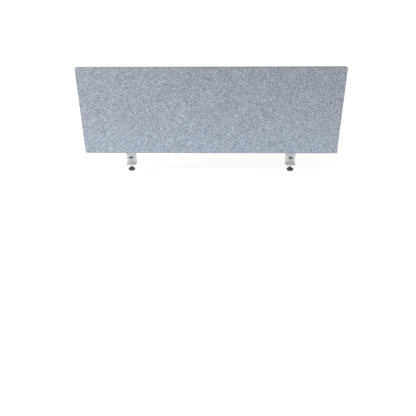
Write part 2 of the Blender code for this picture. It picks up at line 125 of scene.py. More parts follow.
# The wadding and the cores
BATT_CELL = 0.015
BATT_WAVE = 0.0003  # how far they wave to each side
BATT_PLAY = 0.0007  # how much thinner they are, so that the waves have room

# Zip
TAPE = 0.0008
TOOTH_PITCH = 0.0015
TOOTH_WIRE = 0.00036
(_, _, CHAIN_LOW), (_, _, CHAIN_HIGH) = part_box("zip_chain")

# The camera, matched to the photograph's viewing angle
CAMERA_AT = (0.0385, -2.5217, 0.8636)
CAMERA_YAW = 1.282  # degrees, turned to the left
CAMERA_DOWN = 26.077
CAMERA_ROLL = -0.341
CAMERA_LENS = 37.971

# The stage
FLOOR_REACH = 200.0  # far enough that its edge lies at the horizon
FLOOR_GAP = 0.0004  # below the lowest place that a knob comes to
FLOOR_GLOW = 0.36
SKY_LOW = (1.0, 1.0, 1.0)
SKY_HIGH = (0.62, 0.60, 0.565)


# Materials


class Graph:
    """Builds one material's nodes."""

    def __init__(self, name, roughness=0.5, metallic=0.0, **sockets):
        self.material = bpy.data.materials.new(name)
        self.material.use_nodes = True
        self.tree = self.material.node_tree
        self.shader = self.tree.nodes["Principled BSDF"]
        self.set(self.shader, Roughness=roughness, Metallic=metallic)
        for socket, value in sockets.items():
            self.set(self.shader, **{socket.replace("_", " "): value})
        self.place = self.node("ShaderNodeTexCoord").outputs["Object"]

    def set(self, node, **inputs):
        for name, value in inputs.items():
            self.plug(node.inputs[name], value)

    def plug(self, socket, value):
        if isinstance(value, bpy.types.NodeSocket):
            self.tree.links.new(value, socket)
        else:
            socket.default_value = value

    def node(self, kind, *values, **settings):
        made = self.tree.nodes.new(kind)
        for name, value in settings.items():
            setattr(made, name, value)
        for socket, value in zip(made.inputs, values):
            self.plug(socket, value)
        return made

    def math(self, operation, *values):
        return self.node("ShaderNodeMath", *values, operation=operation).outputs[0]

    def noise(self, wavelength, detail=2.0, place=None, roughness=0.5):
        """Noise from 0 to 1. wavelength is in metres, one number or one for each axis."""
        sizes = wavelength if isinstance(wavelength, tuple) else (wavelength,) * 3
        mapping = self.node("ShaderNodeMapping")
        self.set(mapping, Vector=place or self.place, Scale=[1 / size for size in sizes])
        noise = self.node("ShaderNodeTexNoise")
        self.set(noise, Vector=mapping.outputs[0], Scale=1.0, Detail=detail, Roughness=roughness)
        return noise.outputs["Fac"]

    def stretched(self, value, low, high, to_low=0.0, to_high=1.0):
        node = self.node("ShaderNodeMapRange", value, low, high, to_low, to_high)
        return node.outputs[0]

    def ramp(self, value, *stops):
        ramp = self.node("ShaderNodeValToRGB", value)
        elements = ramp.color_ramp.elements
        while len(elements) < len(stops):
            elements.new(0.5)
        for element, (position, colour) in zip(elements, stops):
            element.position = position
            element.color = (*colour, 1.0)
        return ramp.outputs["Color"]

    def blend(self, factor, first, second):
        """Between two numbers."""
        node = self.node("ShaderNodeMix", data_type="FLOAT")
        for socket, value in zip((0, 2, 3), (factor, first, second)):
            self.plug(node.inputs[socket], value)
        return node.outputs[0]

    def mix(self, factor, first, second, how="MIX"):
        """Between two colours."""
        node = self.node("ShaderNodeMix", data_type="RGBA", blend_type=how)
        for socket, value in zip((0, 6, 7), (factor, first, second)):
            self.plug(node.inputs[socket], value)
        return node.outputs[2]

    def split(self, place=None):
        return self.node("ShaderNodeSeparateXYZ", place or self.place).outputs

    def finish(self, colour=None, roughness=None, height=None, relief=0.0):
        """Plugs in the shader's colour, roughness and bump. relief is the bump's height in metres."""
        if colour is not None:
            self.set(self.shader, **{"Base Color": colour})
        if roughness is not None:
            self.set(self.shader, Roughness=roughness)
        if height is not None:
            bump = self.node("ShaderNodeBump")
            self.set(bump, Strength=1.0, Distance=relief, Height=height)
            self.set(self.shader, Normal=bump.outputs[0])
        return self.material


def unrolled(graph, wander=0.0):
    """(across, upward): places on the flat cloth, for cloth that turns from a face onto the panel's edges.

    wander is how far the yarns stray from straight, in metres.
    """
    x, y, z = graph.split()
    facing_x, _, facing_z = graph.split(graph.node("ShaderNodeTexCoord").outputs["Normal"])
    depth = graph.math("SUBTRACT", y, FRONT)
    flat = []
    for value, centre, facing, wave in ((x, 0.0, facing_x, 0.0040), (z, CENTRE_Z, facing_z, 0.0046)):
        wall = graph.math("GREATER_THAN", graph.math("ABSOLUTE", facing), 0.7)
        outwards = graph.math("SIGN", graph.math("SUBTRACT", value, centre))
        wrapped = graph.math("MULTIPLY", graph.math("MULTIPLY", wall, outwards), depth)
        place = graph.math("ADD", value, wrapped)
        if wander:
            place = graph.math("MULTIPLY_ADD", graph.noise(wave, 2.0), 5 * wander, place)
        flat.append(place)
    return flat


def weave(graph, flat, pitches):
    """(height, over): a plain weave's relief from 0 to 1, and 1 where an upright yarn lies on top.

    pitches are from one yarn to the next, across and upward. Each yarn is round, and rises and dips as
    it crosses the others, so the one that is higher at a place is the one that shows.
    """
    across, upward = (
        graph.math("SINE", graph.math("MULTIPLY", place, math.pi / pitch))
        for place, pitch in zip(flat, pitches)
    )
    heights = []
    for side, rise in ((across, upward), (upward, graph.math("MULTIPLY", across, -1.0))):
        profile = graph.math("SQRT", graph.math("ABSOLUTE", side))
        crossed = graph.math("MULTIPLY_ADD", graph.math("SIGN", side), rise, profile)
        heights.append(graph.math("MULTIPLY", crossed, 0.5))
    return graph.math("MAXIMUM", *heights), graph.math("GREATER_THAN", *heights)


def along_yarns(graph, flat, over, widths, length, seed=0.0):
    """Noise that runs along the yarn that lies on top, length metres for one stretch of it.

    Where widths are the pitches, each yarn has its own noise.
    """
    upright, level = flat, flat[::-1]
    tones = []
    for (across, along), width, shift in ((level, widths[1], 0.0), (upright, widths[0], 40.0)):
        number = graph.math("DIVIDE", across, width)
        if widths == PITCHES:
            number = graph.math("MULTIPLY", graph.math("FLOOR", number), 7.31)
        along = graph.math("DIVIDE", along, length)
        place = graph.node("ShaderNodeCombineXYZ", number, along, seed + shift)
        tones.append(graph.noise(1.0, 2.0, place.outputs[0], 0.55))
    return graph.blend(over, *tones)


def mottle(graph, flat, wavelength, detail=1.0, roughness=0.5):
    """Noise over the flat cloth, of another pattern on each cover."""
    cover = graph.math("GREATER_THAN", graph.split()[1], MIDDLE)
    layer = graph.math("MULTIPLY_ADD", cover, 5 * wavelength, wavelength / 2)
    place = graph.node("ShaderNodeCombineXYZ", *flat, layer)
    return graph.noise(wavelength, detail, place.outputs[0], roughness)


def melange():
    """Pale blue-grey cloth, woven from yarns that change between dark and light along their length."""
    graph = Graph("melange_cloth", 0.95, Sheen_Weight=0.08, Sheen_Roughness=0.5, Specular_IOR_Level=0.2)
    flat = unrolled(graph, YARN_WANDER)
    height, over = weave(graph, flat, PITCHES)
    yarn = along_yarns(graph, flat, over, PITCHES, FLECK)
    fibres = along_yarns(graph, flat, over, (FIBRE, FIBRE), 12 * FIBRE, 80.0)
    fleck = mottle(graph, flat, FLECK, 1.5, 0.6)
    cloud = mottle(graph, flat, CLOUD)
    tone = graph.math("MULTIPLY_ADD", fleck, 0.85, graph.math("MULTIPLY", yarn, 1.20))
    for part, share in ((cloud, 0.07), (fibres, 1.10)):
        tone = graph.math("MULTIPLY_ADD", part, share, tone)
    tone = graph.stretched(tone, 1.26, 1.96)
    colour = graph.ramp(
        tone,
        (0.0, (0.070, 0.083, 0.108)),
        (0.30, (0.170, 0.194, 0.238)),
        (0.50, (0.300, 0.331, 0.392)),
        (0.70, (0.455, 0.492, 0.566)),
        (1.0, (0.690, 0.730, 0.810)),
    )
    tint = graph.ramp(mottle(graph, flat, TINT), (0.3, (1.0, 0.975, 0.955)), (0.7, (0.965, 0.990, 1.0)))
    colour = graph.mix(1.0, colour, tint, "MULTIPLY")
    # painted shade: the colour is darkened where the weave's relief is low, in the pits where the yarns cross
    painted_pit_shade = graph.ramp(height, (0.1, (0.45, 0.46, 0.48)), (0.5, (0.88, 0.885, 0.89)), (0.9, (1.0, 1.0, 1.0)))
    colour = graph.mix(1.0, colour, painted_pit_shade, "MULTIPLY")
    surface = graph.math("MULTIPLY_ADD", fibres, 0.45, height)
    return graph.finish(colour, graph.stretched(fibres, 0.3, 0.7, 0.88, 1.0), surface, 0.0003)


def thread():
    graph = Graph("sewing_thread", 0.7, Sheen_Weight=0.2)
    ply = graph.noise((0.0004, 0.0004, 0.0012), 1.0)
    colour = graph.ramp(ply, (0.3, (0.11, 0.12, 0.145)), (0.7, (0.20, 0.22, 0.26)))
    return graph.finish(colour, None, ply, 0.0001)


def tape():
    """Dark woven zip tape."""
    graph = Graph("zip_tape_weave", 0.85, Sheen_Weight=0.15)
    height, over = weave(graph, unrolled(graph), (0.0005, 0.0005))
    tone = graph.math("MULTIPLY_ADD", graph.noise(0.002, 2.0), 0.6, graph.math("MULTIPLY", over, 0.3))
    colour = graph.ramp(tone, (0.2, (0.10, 0.105, 0.12)), (0.8, (0.22, 0.23, 0.25)))
    return graph.finish(colour, None, height, 0.00015)


def coil():
    graph = Graph("zip_coil_nylon", 0.38, Coat_Weight=0.1)
    tone = graph.noise(0.004, 2.0)
    colour = graph.ramp(tone, (0.3, (0.13, 0.135, 0.15)), (0.7, (0.23, 0.235, 0.25)))
    return graph.finish(colour, graph.stretched(tone, 0.3, 0.7, 0.30, 0.46), tone, 0.00003)


def plated(name, dark, light, roughness):
    """Bright plate with faint clouding and rubbed patches."""
    graph = Graph(name, roughness, 1.0)
    cloud = graph.noise(0.006, 3.0)
    scratches = graph.noise((0.0004, 0.003, 0.0004), 2.0)
    colour = graph.ramp(cloud, (0.3, dark), (0.7, light))
    shine = graph.stretched(
        graph.math("ADD", cloud, graph.math("MULTIPLY", scratches, 0.4)),
        0.4, 1.0, roughness - 0.08, roughness + 0.12,
    )
    return graph.finish(colour, shine, scratches, 0.00002)


def powder_coat():
    """Light grey powder coat: a fine orange peel, a little darker in patches."""
    graph = Graph("powder_coat", 0.45, Coat_Weight=0.15, Coat_Roughness=0.3)
    peel = graph.noise(0.0011, 2.0)
    patches = graph.noise(0.03, 3.0)
    colour = graph.ramp(patches, (0.3, (0.545, 0.560, 0.570)), (0.7, (0.575, 0.590, 0.600)))
    return graph.finish(colour, graph.stretched(peel, 0.3, 0.7, 0.38, 0.55), peel, 0.00010)


def rubber():
    graph = Graph("black_rubber", 0.85)
    ribs = graph.math("MULTIPLY", graph.split()[0], math.pi / 0.002)
    ribs = graph.math("ABSOLUTE", graph.math("SINE", ribs))
    speckle = graph.noise(0.0006, 2.0)
    tone = graph.math("MULTIPLY_ADD", speckle, 0.5, graph.math("MULTIPLY", ribs, 0.2))
    colour = graph.ramp(tone, (0.2, (0.018, 0.018, 0.019)), (0.8, (0.055, 0.055, 0.057)))
    height = graph.math("MULTIPLY_ADD", speckle, 0.3, ribs)
    return graph.finish(colour, graph.stretched(speckle, 0.3, 0.7, 0.75, 0.95), height, 0.0002)


def moulded(name, dark, light, roughness):
    """Moulded plastic with a fine spark-eroded grain."""
    graph = Graph(name, roughness)
    grain = graph.noise(0.0005, 2.0)
    scuffs = graph.noise(0.009, 3.0)
    colour = graph.ramp(scuffs, (0.35, dark), (0.75, light))
    shine = graph.stretched(scuffs, 0.3, 0.7, roughness - 0.08, roughness + 0.1)
    return graph.finish(colour, shine, grain, 0.00006)


def timber():
    """Planed softwood with its grain along X."""
    graph = Graph("planed_timber", 0.62)
    bent = graph.noise((0.40, 0.020, 0.020), 2.0)
    rings = graph.math("SINE", graph.math("MULTIPLY", bent, 60.0))
    fibre = graph.noise((0.030, 0.0006, 0.0006), 2.0)
    tone = graph.math("MULTIPLY_ADD", graph.math("MULTIPLY_ADD", rings, 0.5, 0.5), 0.7,
                      graph.math("MULTIPLY", fibre, 0.3))
    colour = graph.ramp(
        tone, (0.1, (0.42, 0.26, 0.13)), (0.5, (0.60, 0.42, 0.24)), (0.9, (0.70, 0.53, 0.33))
    )
    return graph.finish(colour, graph.stretched(fibre, 0.3, 0.7, 0.52, 0.75), fibre, 0.0001)


def felt(name, dark, light):
    """Matted fibres, for the cores and the wadding."""
    graph = Graph(name, 1.0, Sheen_Weight=0.2)
    clumps = graph.noise(0.007, 3.0)
    fibres = graph.noise((0.004, 0.0005, 0.0005), 3.0)
    tone = graph.math("MULTIPLY_ADD", fibres, 0.5, graph.math("MULTIPLY", clumps, 0.5))
    colour = graph.ramp(tone, (0.3, dark), (0.7, light))
    return graph.finish(colour, None, tone, 0.0006)


# By material slot. The thread has none: its stitches are in the cover's.
MATERIALS = {
    "woven_cover": melange(),
    "thread": thread(),
    "zip_tape": tape(),
    "zip_coil": coil(),
    "zip_metal": plated("zip_plate", (0.42, 0.43, 0.45), (0.60, 0.61, 0.63), 0.30),
    "zinc_plated_steel": plated("bright_zinc", (0.40, 0.415, 0.44), (0.55, 0.56, 0.575), 0.30),
    "painted_steel": powder_coat(),
    "rubber": rubber(),
    "moulded_knob": moulded("black_knob_plastic", (0.020, 0.020, 0.022), (0.045, 0.045, 0.048), 0.48),
    "bottom_strip": moulded("strip_plastic", (0.09, 0.095, 0.10), (0.15, 0.155, 0.16), 0.55),
    "frame_wood": timber(),
    "acoustic_core": felt("core_felt", (0.36, 0.33, 0.22), (0.62, 0.57, 0.42)),
    "wadding": felt("white_wadding", (0.70, 0.70, 0.68), (0.88, 0.88, 0.86)),
}


# Geometry


def piece(name, verts, faces, slot, node=None, weld=0.0, material=None):
    """A new object from vertices and faces, in the frame's axes.

    It stands for a CAD node and rides on that node's body, or stands for none and rides on the panel.
    Points nearer than weld to each other become one.
    """
    mesh = bpy.data.meshes.new(name)
    mesh.from_pydata(verts, [], faces)
    shape = bmesh.new()
    shape.from_mesh(mesh)
    bmesh.ops.delete(shape, geom=[v for v in shape.verts if not v.link_faces], context="VERTS")
    if weld:
        bmesh.ops.remove_doubles(shape, verts=shape.verts, dist=weld)
        bmesh.ops.dissolve_degenerate(shape, edges=shape.edges, dist=weld)
    bmesh.ops.recalc_face_normals(shape, faces=shape.faces)
    shape.to_mesh(mesh)
    shape.free()
    mesh.materials.append(MATERIALS[material or slot])
    obj = bpy.data.objects.new(name, mesh)
    bpy.context.scene.collection.objects.link(obj)
    mesh.shade_smooth()
    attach(obj, body_of(NODES[node])[0] if node else "panel")
    if node:
        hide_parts(node)
    return obj


def sharpened(obj):
    """Shades a piece's sharp edges as edges."""
    obj.data.set_sharp_from_angle(angle=math.radians(SHARP))
    return obj


def bevel(obj, width, segments=3, angle=35):
    """Rounds the edges that turn more than angle degrees."""
    modifier = obj.modifiers.new("edges", "BEVEL")
    modifier.width = width
    modifier.segments = segments
    modifier.limit_method = "ANGLE"
    modifier.angle_limit = math.radians(angle)
    modifier.harden_normals = False
    return obj


def dress(node, slot):
    """Gives a CAD node its material."""
    mesh = NODES[node].data
    mesh.materials.clear()
    mesh.materials.append(MATERIALS[slot])


def raw(mesh):
    """(vertices, faces) of a mesh."""
    return [tuple(v.co) for v in mesh.vertices], [tuple(face.vertices) for face in mesh.polygons]


def rounded(node, name, slot, width):
    """Stands for a CAD node with a piece of the same shape whose sharp edges are rounded."""
    return bevel(sharpened(piece(name, *raw(NODES[node].data), slot, node, WELD)), width)


def thickened(obj, thickness, offset):
    modifier = obj.modifiers.new("thickness", "SOLIDIFY")
    modifier.thickness, modifier.offset = thickness, offset
    return modifier


def middle_of(node):
    low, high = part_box(node)
    return (low + high) / 2


def axis_of(node):
    """The middle of a node that stands on the Z axis, at height 0."""
    middle = middle_of(node)
    return Vector((middle.x, middle.y, 0))


def half_size(node):
    low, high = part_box(node)
    return (high - low) / 2


def grid_faces(rows, columns, wrap=False):
    """Quads of a grid of points kept row by row. wrap joins the last column to the first."""
    across = columns if wrap else columns - 1
    return [
        (
            row * columns + column,
            row * columns + (column + 1) % columns,
            (row + 1) * columns + (column + 1) % columns,
            (row + 1) * columns + column,
        )
        for row in range(rows - 1)
        for column in range(across)
    ]


def tube_faces(rows, columns):
    """Quads round a closed tube of rows of points, with both its ends capped."""
    last = (rows - 1) * columns
    caps = [tuple(range(columns)), tuple(last + i for i in reversed(range(columns)))]
    return grid_faces(rows, columns, wrap=True) + caps


def outer_loop(rows, columns):
    """The border of a grid of points kept row by row, all the way round."""
    loop = list(range(columns)) + [row * columns + columns - 1 for row in range(1, rows)]
    loop += [(rows - 1) * columns + i for i in range(columns - 2, -1, -1)]
    return loop + [row * columns for row in range(rows - 2, 0, -1)]


def bridge(first, second):
    """Quads between two loops of the same number of points."""
    count = len(first)
    return [(first[i], first[(i + 1) % count], second[(i + 1) % count], second[i]) for i in range(count)]


def extruded(outline, low, high):
    """(vertices, faces) of an outline of (Y, Z) points, between two X values."""
    count = len(outline)
    verts = [(x, y, z) for x in (low, high) for y, z in outline]
    faces = [(i, (i + 1) % count, (i + 1) % count + count, i + count) for i in range(count)]
    return verts, faces + [tuple(reversed(range(count))), tuple(range(count, 2 * count))]


def join(*shapes):
    """One (vertices, faces) from several."""
    verts, faces = [], []
    for more, more_faces in shapes:
        faces += [tuple(len(verts) + i for i in face) for face in more_faces]
        verts += list(more)
    return verts, faces


def lathe(profile, centre, segments=48, radius_at=None, ring=False):
    """(vertices, faces) of a shape turned about Z from (radius, height) points.

    Its two ends close on the axis, or on each other where ring is set.
    """
    verts = []
    for radius, height in profile:
        for i in range(segments):
            angle = 2 * math.pi * i / segments
            r = radius_at(radius, height, angle) if radius_at else radius
            verts.append(centre + Vector((r * math.cos(angle), r * math.sin(angle), height)))
    faces = grid_faces(len(profile), segments, wrap=True)
    ends = [[row * segments + i for i in range(segments)] for row in (0, len(profile) - 1)]
    if ring:
        return verts, faces + bridge(*ends)
    for end in ends:
        verts.append(sum((verts[i] for i in end), Vector()) / segments)
        faces += [(end[i], end[(i + 1) % segments], len(verts) - 1) for i in range(segments)]
    return verts, faces


def smoothstep(value):
    value = min(max(value, 0.0), 1.0)
    return value * value * (3 - 2 * value)


def arc(radius, start, end, steps):
    """(cosine, sine) times radius along an arc, with the angles in degrees."""
    angles = [math.radians(start + (end - start) * i / steps) for i in range(steps + 1)]
    return [(radius * math.cos(a), radius * math.sin(a)) for a in angles]


def undulation(seed):
    """A function of (x, z): a slow, even undulation from -1 to 1."""
    dice = random.Random(seed)
    terms = []
    for _ in range(6):
        turn, wave = dice.uniform(0, math.pi), dice.uniform(0.10, 0.32) / (2 * math.pi)
        terms.append((math.cos(turn) / wave, math.sin(turn) / wave, dice.uniform(0, 2 * math.pi)))

    def height(x, z):
        return sum(math.sin(x * a + z * b + phase) for a, b, phase in terms) / len(terms)

    return height


# The covers


def border_steps():
    """Insets, from the envelope inwards, of the mesh lines that round a cover's rim."""
    rim = [RIM * (1 - math.sin(math.radians(angle))) for angle in (90, 72, 54, 36, 18, 0)]
    return rim + [0.0065, CORNER, CLOTH_CELL, 0.022]


def grid_lines(low, high):
    """Places of the mesh lines across a cover: close at both borders and even between."""
    steps = border_steps()
    span = high - low - 2 * steps[-1]
    count = round(span / CLOTH_CELL)
    inner = [low + steps[-1] + span * i / count for i in range(1, count)]
    return [low + s for s in steps] + inner + [high - s for s in reversed(steps)]


def round_corner(x, z):
    """Moves a point of the square grid so that the outline's corners come out round."""
    for centre_x, side in ((LEFT, -1), (RIGHT, 1)):
        for edge_z, up, radius in ((TOP, 1, CORNER), (CLOTH_LOW, -1, LOWER_CORNER)):
            u = (x - centre_x) * side / radius + 1
            v = (z - edge_z) * up / radius + 1
            if u <= 0 or v <= 0:
                continue
            if u > v:
                reach, angle = u, math.pi / 4 * v / u
            else:
                reach, angle = v, math.pi / 2 - math.pi / 4 * u / v
            x = centre_x - side * radius * (1 - reach * math.cos(angle))
            z = edge_z - up * radius * (1 - reach * math.sin(angle))
            return x, z
    return x, z


def pressed(x, z):
    """How much the clamp plates press the rear cover flat at a point: 1 under a plate, 0 away from it."""
    most = 0.0
    for low, high in PLATES:
        out_x = max(low.x - x, 0.0, x - high.x)
        out_z = max(z - high.z, 0.0)
        most = max(most, 1 - smoothstep(math.hypot(out_x, out_z) / PRESS_REACH))
    return most


def cover_depth(inset, x, z, ripples, rear):
    """How far inside its own flat face a cover's surface lies."""
    depth = CLOTH_INSET + SLACK * (1 - smoothstep((inset - RIM) / SLACK_REACH))
    if inset < RIM:
        depth += RIM - math.sqrt(max(RIM**2 - (RIM - inset) ** 2, 0.0))
    depth += RIPPLE * ripples(x, z) * smoothstep(inset / RIPPLE_REACH)
    if rear:
        hold = pressed(x, z) if z < TOP - CORNER else 0.0
        depth += PRESS * hold - SWELL * (1 - hold) * smoothstep(inset / SWELL_REACH)
    return depth


def make_cover(name, face_y, hem_y, seed):
    """A taut cloth cover with a rounded rim, a folded hem and round upper corners."""
    rear = face_y > hem_y
    inward = -1 if rear else 1
    xs, zs = grid_lines(LEFT, RIGHT), grid_lines(CLOTH_LOW, TOP)
    ripples = undulation(seed)
    verts = []
    for z in zs:
        for x in xs:
            inset = min(x - LEFT, RIGHT - x, z - CLOTH_LOW, TOP - z)
            px, pz = round_corner(x, z)
            verts.append((px, face_y + inward * cover_depth(inset, x, z, ripples, rear), pz))
    columns, rows = len(xs), len(zs)
    faces = grid_faces(rows, columns)
    ring = border = outer_loop(rows, columns)
    wall = abs(hem_y - face_y)
    high_edge = CENTRE_Z - CLOTH_LOW - CORNER
    # From the rim straight back to the hem, which folds under
    for depth, reach in ((0.0, RIM + 0.002), (0.0, wall - 0.0015), (0.0, wall - HEM_FOLD),
                         (0.00018, wall - 0.00015), (HEM_FOLD, wall)):
        made = []
        for index in border:
            x, _, z = verts[index]
            step_x = -math.copysign(depth, x) if abs(x) > RIGHT - CORNER else 0.0
            step_z = -math.copysign(depth, z - CENTRE_Z) if abs(z - CENTRE_Z) > high_edge else 0.0
            verts.append((x + step_x, face_y + inward * reach, z + step_z))
            made.append(len(verts) - 1)
        faces += bridge(ring, made)
        ring = made
    obj = piece(f"{name}_cloth", verts, faces, "woven_cover", name)
    thickened(obj, CLOTH, -1).use_even_offset = False
    return obj


def edge_frames(pitch, depth, low, y=0.0):
    """(place, along, outward) at even steps up the left side, over the top and down the right side."""
    radius = CORNER - depth
    straight, arch = TOP - CORNER - low, math.pi / 2 * radius
    across = RIGHT - LEFT - 2 * CORNER
    total = 2 * straight + 2 * arch + across
    count = int(total / pitch)
    frames = []
    for i in range(count + 1):
        s = (total - count * pitch) / 2 + i * pitch
        mirrored = s > total / 2
        if mirrored:
            s = total - s
        if s < straight:
            angle, centre = math.pi, Vector((LEFT + CORNER, y, low + s))
        elif s < straight + arch:
            angle = math.pi - (s - straight) / radius
            centre = Vector((LEFT + CORNER, y, TOP - CORNER))
        else:
            angle, centre = math.pi / 2, Vector((LEFT + CORNER + s - straight - arch, y, TOP - CORNER))
        outward = Vector((math.cos(angle), 0, math.sin(angle)))
        place = centre + outward * radius
        along = Vector((outward.z, 0, -outward.x))
        if mirrored:
            place.x, outward.x, along.z = LEFT + RIGHT - place.x, -outward.x, -along.z
        frames.append((place, along, outward))
    return frames


def scatter(template, faces, frames):
    """Copies a small shape, given in (along, Y, outward) lengths, to each frame."""
    copies = []
    for place, along, outward in frames:
        copies.append([place + along * a + Vector((0, y, 0)) + outward * o for a, y, o in template])
    return join(*((copy, faces) for copy in copies))


def rod(stations, sides=6):
    """(points, faces) of a closed rod through stations: (centre, first axis, second axis, radius, radius)."""
    points = []
    for centre, first, second, wide, high in stations:
        for i in range(sides):
            angle = 2 * math.pi * i / sides
            points.append(centre + first * wide * math.cos(angle) + second * high * math.sin(angle))
    return points, tube_faces(len(stations), sides)


def make_stitches(name, y, seed):
    """A row of topstitching round a hem: each stitch dives into the cloth at both its ends."""
    dice = random.Random(seed)
    first, second = Vector((0, 1, 0)), Vector((0, 0, 1))
    tip, back = (-0.0003, 0.00012, 0.0001), (0.00005, 0.00026, 0.00022)
    stations = [
        (Vector((share * STITCH / 2, 0, rise)), first, second, wide, high)
        for share, (rise, wide, high) in ((-1, tip), (-0.6, back), (0.6, back), (1, tip))
    ]
    frames = edge_frames(STITCH + STITCH_GAP, 0, CLOTH_LOW + LOWER_CORNER)
    placed = [
        (place + Vector((0, y + dice.uniform(-0.0001, 0.0001), 0)), along, outward)
        for place, along, outward in frames
    ]
    return piece(name, *scatter(*rod(stations), placed), "woven_cover", material="thread")


# The zip


def make_zip_chain():
    """The closed coil: two rows of knuckles that mesh along the middle."""
    half_width = half_size("zip_chain").y
    # Along the zip, across it and outward, then how wide and how high the wire is there
    knuckle = (
        (0.00010, half_width, -0.0012, 0.9, 0.0003),
        (0.00005, half_width * 0.93, -0.00055, 1, 0.0004),
        (0, half_width * 0.45, -0.00040, 1, 0.0004),
        (0, -0.0003, -0.00045, 1.35, 0.00042),
        (0, -0.0008, -0.00070, 0.8, 0.0003),
    )
    along, outward = Vector((1, 0, 0)), Vector((0, 0, 1))
    frames = edge_frames(TOOTH_PITCH / 2, TOP - CHAIN_HIGH, CHAIN_LOW + TOOTH_PITCH, MIDDLE)
    rows = []
    for row, side in enumerate((-1, 1)):
        stations = [
            (Vector((shift, side * y, rise)), along, outward, TOOTH_WIRE * wide, high)
            for shift, y, rise, wide, high in knuckle
        ]
        rows.append(scatter(*rod(stations), frames[row::2]))
    piece("zip_coil_chain", *join(*rows), "zip_coil", "zip_chain")


def make_zip_tape(half, toward):
    """One side's tape: woven, with a corded edge under the coil. toward is +1 where Y grows to the middle."""
    node = f"zip_tape_{half}"
    low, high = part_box(node)
    outer = low.y if toward > 0 else high.y
    width = abs(MIDDLE - outer)
    section = [(0, 0.0002), (0.0002, 0), (0.0078, 0), (0.0082, -0.0001), (0.0086, 0)]
    section += [(width - 0.0001, 0), (width - 0.00001, 0.0002)]
    points = [(outer + toward * a, -b) for a, b in section]
    points += [(outer + toward * a, b - TAPE) for a, b in reversed(section)]
    frames = edge_frames(TOOTH_PITCH, TOP - high.z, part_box("bottom_strip")[1].z + 0.0001)
    last = len(frames) - 1
    # Every frame where the tape turns a corner, and few where it runs straight
    kept = [
        (place, outward)
        for i, (place, _, outward) in enumerate(frames)
        if i % 12 == 0 or i == last or min(abs(outward.x), abs(outward.z)) > 1e-6
    ]
    verts = [place + Vector((0, y, 0)) + outward * o for place, outward in kept for y, o in points]
    sharpened(piece(f"{node}_woven", verts, tube_faces(len(kept), len(points)), "zip_tape", node))


def make_stop(node):
    """A crimped metal stop: a domed shoe over the chain's end, with a crease across it."""
    low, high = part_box(node)
    middle, half = middle_of(node), half_size(node)
    quarter = [(1, -0.72), (1, -0.22), (0.88, -0.10), (0.88, 0.10), (1, 0.22), (1, 0.72), (0.86, 1)]
    outline = [(middle.y + a * half.y, middle.z + b * half.z) for a, b in [(0.86, -1), *quarter]]
    outline += [(2 * middle.y - y, z) for y, z in reversed(outline)]
    shape = extruded(outline, low.x, high.x)
    bevel(sharpened(piece(f"{node}_crimp", *shape, "zip_metal", node)), 0.0005, 3, 60)


def make_slider():
    """The slider's shield-shaped plate, its two flanges and the arch that holds the pull."""
    middle, half = middle_of("zip_slider"), half_size("zip_slider")
    shield = [(0.62, -1), (0.86, -0.62), (1, -0.1), (1, 0.62), (0.72, 1), (0.25, 0.86)]
    outline = [(MIDDLE + a * half.y, middle.z + b * half.z) for a, b in shield]
    outline += [(2 * MIDDLE - y, z) for y, z in reversed(outline)]
    shapes = [extruded(outline, RIGHT + 0.0001, RIGHT + 0.0010)]
    foot, top = middle.z - 0.55 * half.z, middle.z + 0.60 * half.z
    for side in (-1, 1):
        inner, outer = MIDDLE + side * (half.y - 0.0010), MIDDLE + side * half.y
        outline = [(inner, foot), (outer, foot), (outer, top), (inner, top)]
        shapes.append(extruded(outline, middle.x - half.x, RIGHT + 0.0004))
    # The arch, as millimetres out from the side and up from the slider's middle
    path = [(0.6, -3.3), (1.8, -3.25), (2.8, -2.6), (3.3, -1.4), (3.4, 0),
            (3.3, 1.4), (2.8, 2.6), (1.8, 3.25), (0.6, 3.3)]
    places = [Vector((RIGHT + out / 1000, MIDDLE, middle.z + up / 1000)) for out, up in path]
    stations, across = [], Vector((0, 1, 0))
    for i, place in enumerate(places):
        tangent = (places[min(i + 1, len(places) - 1)] - places[max(i - 1, 0)]).normalized()
        stations.append((place, across, tangent.cross(across), 0.0012, 0.00055))
    shape = join(*shapes, rod(stations, 12))
    bevel(sharpened(piece("zip_slider_body", *shape, "zip_metal", "zip_slider")), 0.00022, 2, 40)


def filled(outlines, thickness, rim):
    """(vertices, faces) of a plate in XY with rounded rims: its edge's outline, then its holes'."""
    curve = bpy.data.curves.new("plate", "CURVE")
    curve.dimensions, curve.fill_mode = "2D", "BOTH"
    curve.extrude, curve.bevel_depth, curve.bevel_resolution = thickness / 2 - rim, rim, 2
    for outline in outlines:
        spline = curve.splines.new("POLY")
        spline.points.add(len(outline) - 1)
        for point, (x, y) in zip(spline.points, outline):
            point.co = (x, y, 0, 1)
        spline.use_cyclic_u = True
    drawn = bpy.data.objects.new("plate", curve)
    bpy.context.scene.collection.objects.link(drawn)
    bpy.context.view_layer.update()
    mesh = bpy.data.meshes.new_from_object(drawn.evaluated_get(bpy.context.evaluated_depsgraph_get()))
    bpy.data.objects.remove(drawn)
    return raw(mesh)


